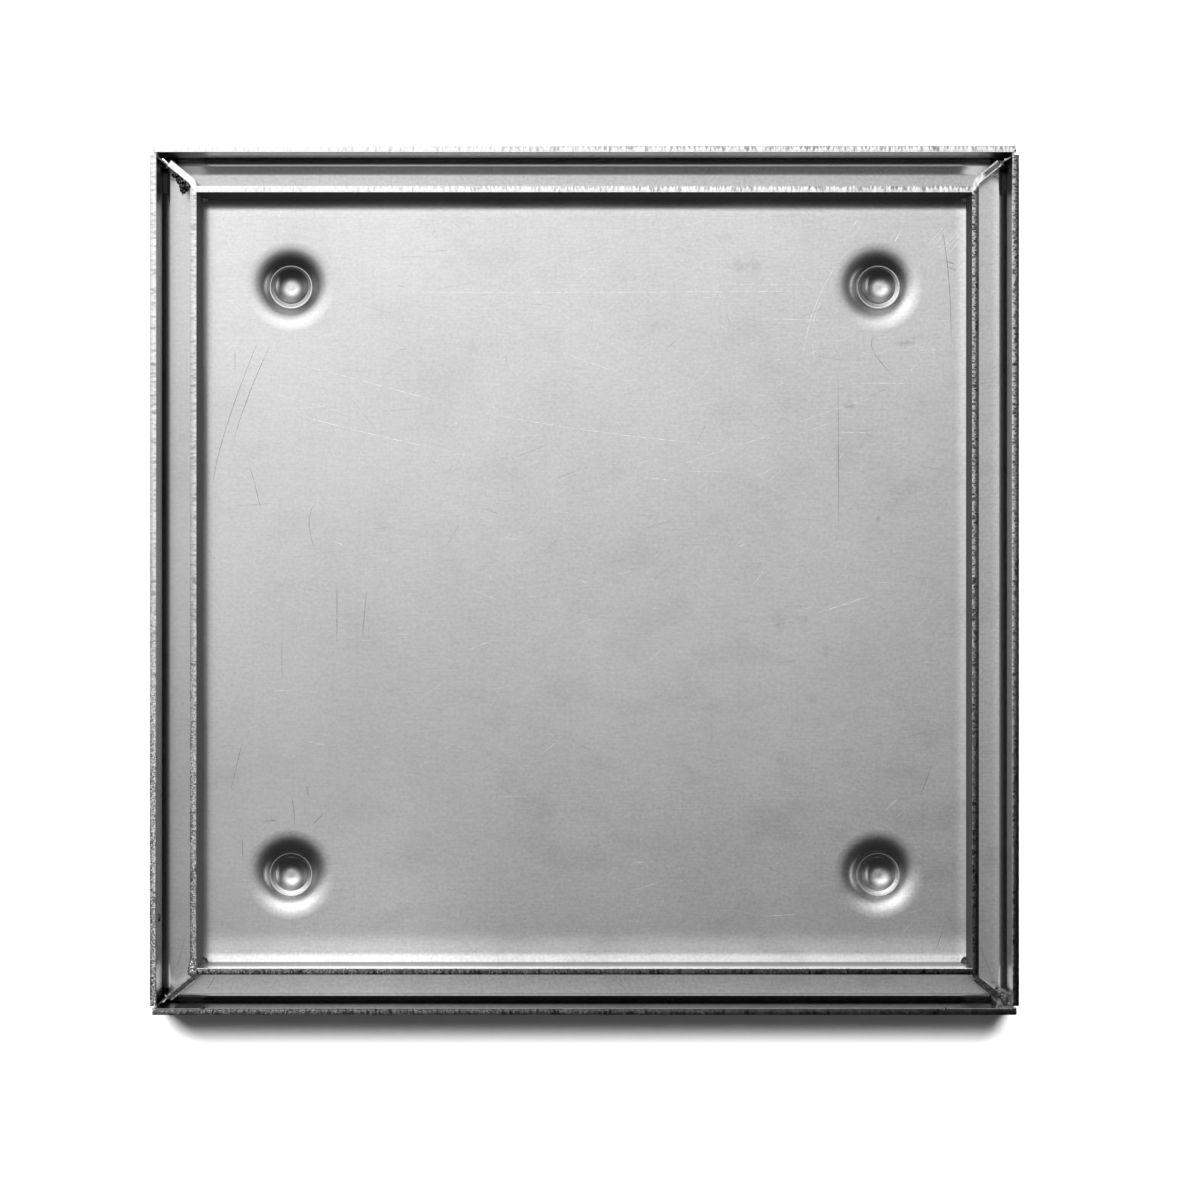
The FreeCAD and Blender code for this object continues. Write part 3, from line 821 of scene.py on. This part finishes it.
def make_strip_steel(name, face_light_and_shade, face_roughness, *top_tones):
    # Flat bar with a dull, scaled face whose tone holds painted light and shade, and bright sheared
    # edges.
    material, graph = new_material(name + "_steel")
    place = Place(graph)
    scale = graph.noise(graph.stretched(place.point, (1.0, 1.0, 3.0)), 160.0, 4.0)
    colour = graph.remap(scale, 0.3, 0.7, face_light_and_shade * 0.88, face_light_and_shade * 1.12)
    roughness = graph.remap(scale, 0.3, 0.7, face_roughness - 0.04, face_roughness + 0.04)
    if name == "front_upstand":
        # A band of polish along the top of the front strip's face, with a painted highlight in its
        # tone.
        polish_and_highlight = graph.remap(place.z, RIM - POLISHED_DEPTH, RIM - POLISHED_DEPTH + 0.002)
        colour = graph.blend(polish_and_highlight, colour, POLISHED_HIGHLIGHT_TONE)
        roughness = graph.blend(polish_and_highlight, roughness, POLISHED_ROUGHNESS)
    outer = graph.math("GREATER_THAN", place.farther, RING_OUTER - FACE_MARGIN)
    colour = graph.blend(outer, colour, OUTER_TONE)
    roughness = graph.blend(outer, roughness, OUTER_ROUGHNESS)
    edge_colour, edge_roughness, edge_normal = sheared_edge(graph, place, RING_INNER, *top_tones)
    colour = graph.blend(place.on_top, colour, edge_colour)
    roughness = graph.blend(place.on_top, roughness, edge_roughness)
    normal = graph.blend_vectors(place.on_top, place.normal, edge_normal)
    grain = graph.noise(place.point, 900.0, 2.0)
    normal = graph.bump(grain, 0.00001, normal)
    graph.finish_metal(colour, roughness, normal)
    return material


def make_weld_metal():
    material, graph = new_material("weld_metal")
    place = Place(graph)
    lumps = graph.noise(place.point, 900.0, 4.0)
    colour = graph.remap(lumps, 0.35, 0.65, 0.24, 0.48)
    roughness = graph.remap(lumps, 0.3, 0.7, 0.55, 0.30)
    normal = graph.bump(lumps, 0.00012, place.normal)
    graph.finish_metal(colour, roughness, normal)
    return material


def make_bead_metal(name, low_tone, high_tone, low_roughness, high_roughness, bump):
    # Metal that has run and set: its tone and its gloss change from spot to spot.
    material, graph = new_material(name)
    place = Place(graph)
    spots = graph.noise(place.point, 1100.0, 3.0)
    colour = graph.remap(spots, 0.47, 0.61, low_tone, high_tone)
    roughness = graph.remap(spots, 0.40, 0.65, high_roughness, low_roughness)
    normal = graph.bump(spots, bump, place.normal)
    graph.finish_metal(colour, roughness, normal)
    return material


def make_scratch_steel(name, tone, roughness):
    material, graph = new_material(name)
    place = Place(graph)
    spots = graph.noise(place.point, 500.0, 2.0)
    colour = graph.remap(spots, 0.3, 0.7, tone * 0.7, min(tone * 1.2, 1.0))
    graph.finish_metal(colour, roughness, place.normal)
    return material


def add_piece(name, form, material):
    mesh = bpy.data.meshes.new(name)
    bmesh.ops.recalc_face_normals(form, faces=form.faces)
    form.to_mesh(mesh)
    form.free()
    mesh.materials.append(material)
    piece = bpy.data.objects.new(name, mesh)
    bpy.context.scene.collection.objects.link(piece)
    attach(piece, "root")


def on_mark(points, share):
    # The point at a share of the way along a straight mark, or a curve through three points.
    if len(points) == 2:
        return points[0].lerp(points[1], share)
    first, middle, last = points
    return (first * ((1 - share) * (1 - 2 * share)) + middle * (4 * share * (1 - share))
            + last * (share * (2 * share - 1)))


def add_scratch(form, points, width, lean, draws):
    # A closed ridge along a mark, a hundredth of a millimetre high, that tapers to its ends. Its
    # wide side leans the way that is asked for, and its other side is steep.
    lift = Vector((0.0, 0.0, width * SCRATCH_SLOPE))
    sink = Vector((0.0, 0.0, -SCRATCH_SINK))
    length = (points[-1] - points[0]).length
    count = max(4, int(length / SCRATCH_STEP))
    start = form.verts.new(points[0] + sink)
    end = form.verts.new(points[-1] + sink)
    rings = []
    for step in range(1, count):
        share = step / count
        spot = on_mark(points, share)
        ahead = (on_mark(points, share + 0.01) - on_mark(points, share - 0.01)).normalized()
        across = Vector((-ahead.y, ahead.x, 0.0))
        if across.dot(lean) < 0:
            across = -across
        taper = min(1.0, 0.25 + 3.0 * min(share, 1 - share))
        half = across * (width / 2 * taper * draws.uniform(0.55, 1.25))
        rings.append([form.verts.new(spot + half + sink), form.verts.new(spot - half + sink),
                      form.verts.new(spot - half * 0.7 + lift * taper)])
    for one, other in zip(rings, rings[1:]):
        for index in range(3):
            follower = (index + 1) % 3
            form.faces.new((one[index], one[follower], other[follower], other[index]))
    for index in range(3):
        follower = (index + 1) % 3
        form.faces.new((start, rings[0][index], rings[0][follower]))
        form.faces.new((end, rings[-1][follower], rings[-1][index]))


def clear_of_feet(spot):
    off = Vector((abs(spot.x) - FOOT_CENTRE, abs(spot.y) - FOOT_CENTRE))
    return off.length > FOOT_REACH


def make_hairlines(draws):
    # Fine marks from handling, more of them towards the rear right, most of them nearly level.
    marks = []
    while len(marks) < HAIRLINES:
        reach = RING_INNER - 0.008
        x = draws.uniform(-reach, reach)
        y = draws.uniform(-reach, reach)
        if draws.random() > 0.45 + 0.3 * (x + y) / reach:
            continue
        turn = draws.gauss(0.0, 0.35) if draws.random() < 0.7 else draws.uniform(0.0, math.pi)
        along = Vector((math.cos(turn), math.sin(turn), 0.0)) * draws.uniform(*HAIRLINE_HALVES)
        middle = Vector((x, y, BED))
        points = (middle - along, middle + along)
        inside = all(max(abs(spot.x), abs(spot.y)) < reach for spot in points)
        if inside and all(clear_of_feet(spot) for spot in points + (middle,)):
            marks.append(points)
    return marks


def make_scratches():
    draws = random.Random(7)
    bright = bmesh.new()
    dark = bmesh.new()
    marks = [(CLEAR_SCRATCHES, CLEAR_WIDTH, bright, TO_LIGHT),
             (FAINT_SCRATCHES, FAINT_WIDTH, bright, TO_LIGHT),
             (DARK_SCRATCHES, DARK_WIDTH, dark, -TO_LIGHT)]
    for scratches, width, form, lean in marks:
        for pixels in scratches.values():
            points = [at_pixel(across, down, BED) for across, down in pixels]
            add_scratch(form, points, width, lean, draws)
    for stroke in range(BUNDLE_COUNT):
        points = [at_pixel(across + BUNDLE_STEP[0] * stroke + draws.uniform(-2, 2),
                           down + BUNDLE_STEP[1] * stroke, BED) for across, down in BUNDLE_STROKE]
        add_scratch(bright, points, FAINT_WIDTH, TO_LIGHT, draws)
    for points in make_hairlines(draws):
        form, lean = (bright, TO_LIGHT) if draws.random() < 0.6 else (dark, -TO_LIGHT)
        add_scratch(form, points, draws.uniform(0.5, 0.9) * FAINT_WIDTH, lean, draws)
    # The pale and dark tones of these two sets are painted light and shade for the way each mark turns
    # to the main light.
    add_piece("bright_scratches", bright, make_scratch_steel("lit_scratch", 0.82, 0.2))
    add_piece("dark_scratches", dark, make_scratch_steel("shaded_scratch", 0.35, 0.3))


def add_lump(form, centre, radii, turn, draws):
    # A bead of metal that has run: a ball that noise pushes in and out.
    made = bmesh.ops.create_icosphere(form, subdivisions=3, radius=1.0)
    offset = Vector((draws.uniform(0, 90), draws.uniform(0, 90), 0.0))
    spin = Matrix.Rotation(turn, 3, "Z")
    for vertex in made["verts"]:
        swell = (1.0 + 0.40 * noise.noise(vertex.co * 1.6 + offset)
                 + 0.18 * noise.noise(vertex.co * 4.0 + offset))
        spot = Vector([part * radius * swell for part, radius in zip(vertex.co, radii)])
        vertex.co = centre + spin @ spot
        for face in vertex.link_faces:
            face.smooth = True


def make_debris(material):
    # Burnt weld and spatter that piled up against the rear left tab, with a hair hanging off it.
    draws = random.Random(3)
    form = bmesh.new()
    start = at_pixel(*DEBRIS_START, RIM)
    run = at_pixel(*DEBRIS_END, RIM) - start
    away = Vector((run.y, -run.x, 0.0)).normalized()
    if away.x > 0:
        away = -away
    for lump in range(DEBRIS_LUMPS):
        share = draws.uniform(0.05, 1.0)
        out = draws.uniform(0.0, DEBRIS_SPREAD) * (0.35 + 0.65 * share)
        drop = draws.uniform(*DEBRIS_DROP)
        centre = start + run * share + away * out - Vector((0.0, 0.0, drop))
        size = draws.uniform(*DEBRIS_SIZE)
        add_lump(form, centre, (size * 1.3, size * 0.8, size), draws.uniform(0, math.pi), draws)
    top, bottom = (at_pixel(across, down, RIM - 0.002) for across, down in DEBRIS_HAIR)
    for bead in range(HAIR_BEADS):
        share = bead / (HAIR_BEADS - 1)
        size = HAIR_SIZE - 0.0004 * share
        add_lump(form, top.lerp(bottom, share), (size, size * 1.4, size), 0.0, draws)
    add_piece("corner_debris", form, material)


def make_droplet(material):
    # Bright metal that ran along the lower end of the left strip and set there.
    draws = random.Random(11)
    form = bmesh.new()
    start = at_pixel(*DROPLET_START, RIM)
    end = at_pixel(*DROPLET_END, RIM)
    for bead in range(DROPLET_BEADS):
        share = bead / (DROPLET_BEADS - 1)
        size = DROPLET_SIZE + 0.0004 * share
        add_lump(form, start.lerp(end, share), (size, size * 1.4, 0.0005), 0.3 * bead, draws)
    add_piece("set_droplet", form, material)


def make_crown(material):
    # The top of the corner weld, heaped between the two walls.
    draws = random.Random(5)
    form = bmesh.new()
    middle = at_pixel(*CROWN_MIDDLE, RIM - 0.0016)
    for bead in range(CROWN_BEADS):
        angle = bead * 2.4
        out = 0.0009 * math.sqrt(bead)
        centre = middle + Vector((math.cos(angle) * out, math.sin(angle) * out, -0.0002 * bead))
        add_lump(form, centre, CROWN_RADII, angle, draws)
    add_piece("weld_crown", form, material)


def make_mitre_tacks(material):
    # A thin run of weld metal along the slit in the corner of the pan, with a small star where it
    # meets the tab.
    draws = random.Random(9)
    form = bmesh.new()
    for outer_pixel, inner_pixel in MITRE_TACKS.values():
        outer = at_pixel(*outer_pixel, RIM - TACK_DEPTH)
        inner = at_pixel(*inner_pixel, RIM - TACK_DEPTH)
        run = outer - inner
        turn = math.atan2(run.y, run.x)
        add_lump(form, (outer + inner) / 2, (run.length * 0.62, 0.0004, 0.0007), turn, draws)
        add_lump(form, inner, STAR_RADII, turn + 1.7, draws)
    add_piece("mitre_tacks", form, material)


def make_spatter(material):
    # Single beads that landed on the rim and on the inside of the left wall.
    draws = random.Random(21)
    form = bmesh.new()
    for across, down in RIM_BEADS.values():
        add_lump(form, at_pixel(across, down, RIM), RIM_BEAD_RADII, 0.4, draws)
    on_wall = at_pixel(*WALL_SPATTER, RIM - WALL_SPATTER_DROP)
    on_wall.x = -WALL_INNER
    add_lump(form, on_wall, WALL_SPATTER_RADII, 0.0, draws)
    add_piece("spatter", form, material)


def dress(node, material):
    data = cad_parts[node].data
    data.materials.clear()
    data.materials.append(material)


bpy.context.scene.view_settings.view_transform = "Standard"
make_camera()
make_world()
make_table_lamps(make_floor())
pan_sheet = make_pan_sheet()
weld_metal = make_weld_metal()
dress("pan", pan_sheet)
for node, tones in STRIP_FACES_AND_SHADE.items():
    dress(node, make_strip_steel(node, *tones))
for node in ("tack_welds", "corner_weld"):
    dress(node, weld_metal)
make_scratches()
burnt_metal = make_bead_metal("burnt_metal", 0.02, 0.85, 0.2, 0.6, 0.0003)
bright_metal = make_bead_metal("bright_metal", 0.60, 0.98, 0.15, 0.35, 0.0001)
make_debris(burnt_metal)
make_droplet(bright_metal)
make_crown(weld_metal)
make_mitre_tacks(bright_metal)
make_spatter(burnt_metal)
